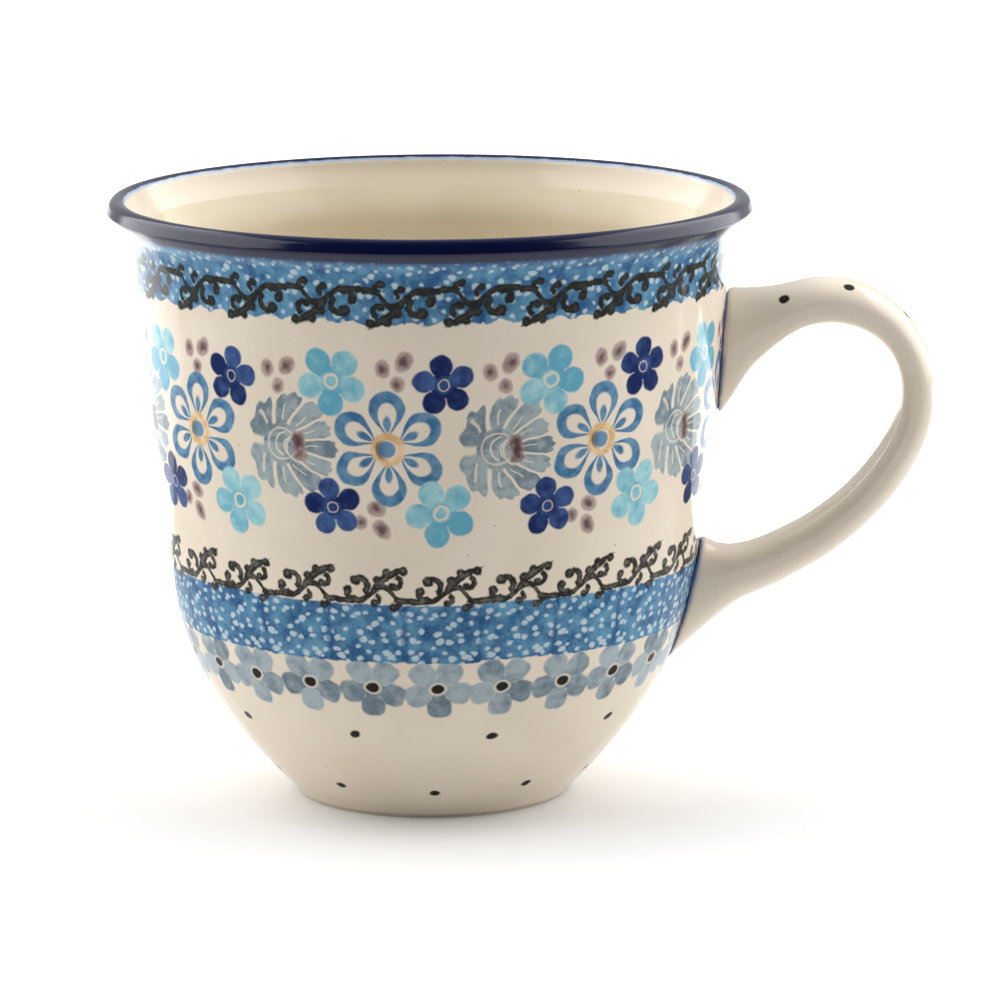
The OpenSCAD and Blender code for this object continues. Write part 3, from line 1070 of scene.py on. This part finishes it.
handle_rows, upper_lengths, lower_lengths = handle_grid()
handle_normals = grid_normals(handle_rows)
middle_row = len(handle_rows) // 2
outwards = handle_rows[middle_row] - handle_rows[middle_row].mean(0)
turned_in = np.sum(outwards * handle_normals[middle_row]) < 0
if turned_in:
    handle_rows, handle_normals = handle_rows[:, ::-1], -handle_normals[:, ::-1]


def handle_piece(name, rows, material, node, lengths=None):
    """The stretch of the handle between two rows of its grid."""
    values = None if lengths is None else {"along": lengths}
    piece = grid_piece(name, handle_rows[rows], handle_normals[rows], material, values)
    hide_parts(node)
    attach(piece, "root")


# Place along the handle and angle around its section, in degrees, of each black dot on it
DOT_PLACES = [
    (2.28, -47), (3.62, -38), (4.9, -10), (5.45, 8), (6.5, -6), (7.6, 5), (8.8, -4), (10.0, 3),
]
dots_at = [handle_points(np.array([place]), np.radians([turn]))[0, 0] for place, turn in DOT_PLACES]
last = COLLAR_ROWS - 1
upper_rows, skin_rows, lower_rows = slice(0, last + 1), slice(last, -last), slice(-last - 1, None)
handle_piece("upper_collar", upper_rows, collar_glaze(), "upper_handle_slip", upper_lengths)
handle_piece("handle_skin", skin_rows, handle_glaze(dots_at), "handle_glaze")
lower_lengths = lower_lengths[::-1]
handle_piece("lower_collar", lower_rows, collar_glaze(), "lower_handle_slip", lower_lengths)


# ---- CAD parts that stay ----

for node_name, finish in (("handle", bare_clay("handle_clay")), ("base_glaze", inner_glaze())):
    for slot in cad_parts[node_name].material_slots:
        slot.material = finish


# ---- floor, lights and camera ----

def stage_sheet(name, half, material):
    """A level square sheet under the mug, with its half width in metres."""
    corners = [(-half, -half, 0), (half, -half, 0), (half, half, 0), (-half, half, 0)]
    mesh = bpy.data.meshes.new(name)
    mesh.from_pydata(corners, [], [(0, 1, 2, 3)])
    mesh.materials.append(material)
    sheet = new_object(name, mesh)


# How strongly the floor's paper glows, as painted light, in front of the mug and behind it
FLOOR_IN_FRONT = 1.02
FLOOR_BEHIND = 1.8


def floor_paper():
    """White paper that takes shadows close to the mug and glows further off.

    Its glow is painted light, brighter behind the mug than in front, in place of a backdrop.
    """
    net = Net("floor_paper")
    position = Value(net, net.add("TexCoord").outputs["Object"])
    far = net.ramp(net.vmath("LENGTH", position), 0.03, 0.20, 0.12, 1.0)
    paper = net.add("BsdfDiffuse")
    paper.inputs["Color"].default_value = (0.82, 0.81, 0.80, 1)
    # The paper's painted light: a glow that grows from the front of the mug to the back
    bright = net.add("Emission")
    bright.inputs["Color"].default_value = (1, 1, 1, 1)
    strength = net.ramp(net.parts(position)[1], 0.0, 0.30, FLOOR_IN_FRONT, FLOOR_BEHIND)
    net.feed(strength, bright.inputs["Strength"])
    blend = net.add("MixShader")
    net.feed(far, blend.inputs[0])
    net.tree.links.new(paper.outputs[0], blend.inputs[1])
    net.tree.links.new(bright.outputs[0], blend.inputs[2])
    return net.finished("OutputMaterial", blend)


FLOOR_HALF = 6.0
stage_sheet("floor", FLOOR_HALF, floor_paper())

# The height that the lamps face, in metres
MUG_MIDDLE = 0.05


def softbox(name, bearing, distance, height, size, radiance, gloss=False):
    """A rectangular lamp that faces the mug, in metres, with bearing in degrees from -Y to +X.

    Only with gloss does it mirror in the glaze.
    """
    lamp = bpy.data.lights.new(name, "AREA")
    lamp.shape = "RECTANGLE"
    lamp.size, lamp.size_y = size
    lamp.energy = radiance * math.pi * size[0] * size[1]
    box = new_object(name, lamp)
    angle = math.radians(bearing)
    box.location = (distance * math.sin(angle), -distance * math.cos(angle), height)
    aim = Vector((0, 0, MUG_MIDDLE)) - box.location
    box.rotation_euler = aim.to_track_quat("-Z", "Y").to_euler()
    box.visible_camera = False
    box.visible_glossy = gloss
    return box


for name, bearing in (("left_softbox", -102), ("right_softbox", 104)):
    softbox(name, bearing, distance=1.0, height=0.60, size=(1.8, 1.2), radiance=2.4, gloss=True)
softbox("top_softbox", bearing=180, distance=0.3, height=1.25, size=(2.1, 1.9), radiance=1.9)

# A bright sheet on the floor behind the mug, which shows only as the sheen on its edges
sheen = softbox("sheen_sheet", bearing=180, distance=0.50, height=0.002, size=(1.4, 0.8),
                radiance=2.0, gloss=True)
sheen.rotation_euler = (math.pi, 0, 0)
sheen.visible_diffuse = False

# How bright the room is around the mug
ROOM_IN_FRONT = 0.02
ROOM_BEHIND = 0.55


def studio_room():
    """White to the camera. To the mug it's dim in front and brighter towards the sides and back."""
    net = Net("studio", bpy.data.worlds)
    x, y, _ = net.parts(Value(net, net.add("TexCoord").outputs["Generated"]))
    room = net.ramp(y + abs(x) * 0.6, -0.2, 0.9, ROOM_IN_FRONT, ROOM_BEHIND)
    seen = Value(net, net.add("LightPath").outputs["Is Camera Ray"])
    background = net.add("Background")
    background.inputs["Color"].default_value = (1, 1, 1, 1)
    net.feed(net.most(room, seen), background.inputs["Strength"])
    return net.finished("OutputWorld", background)


bpy.context.scene.world = studio_room()

# The camera's place in metres, and its tilt down and roll in degrees
CAMERA_AT = (0.01065, -0.7818, 0.2013)
CAMERA_DOWN = 11.26
CAMERA_ROLL = -0.277
lens = bpy.data.cameras.new("camera")
lens.sensor_width = 36
lens.lens = 183.85
camera = new_object("camera", lens)
tilt = Matrix.Rotation(math.radians(90 - CAMERA_DOWN), 4, "X")
roll = Matrix.Rotation(math.radians(CAMERA_ROLL), 4, "Z")
camera.matrix_world = Matrix.Translation(CAMERA_AT) @ tilt @ roll
bpy.context.scene.camera = camera
bpy.context.scene.view_settings.view_transform = "Standard"
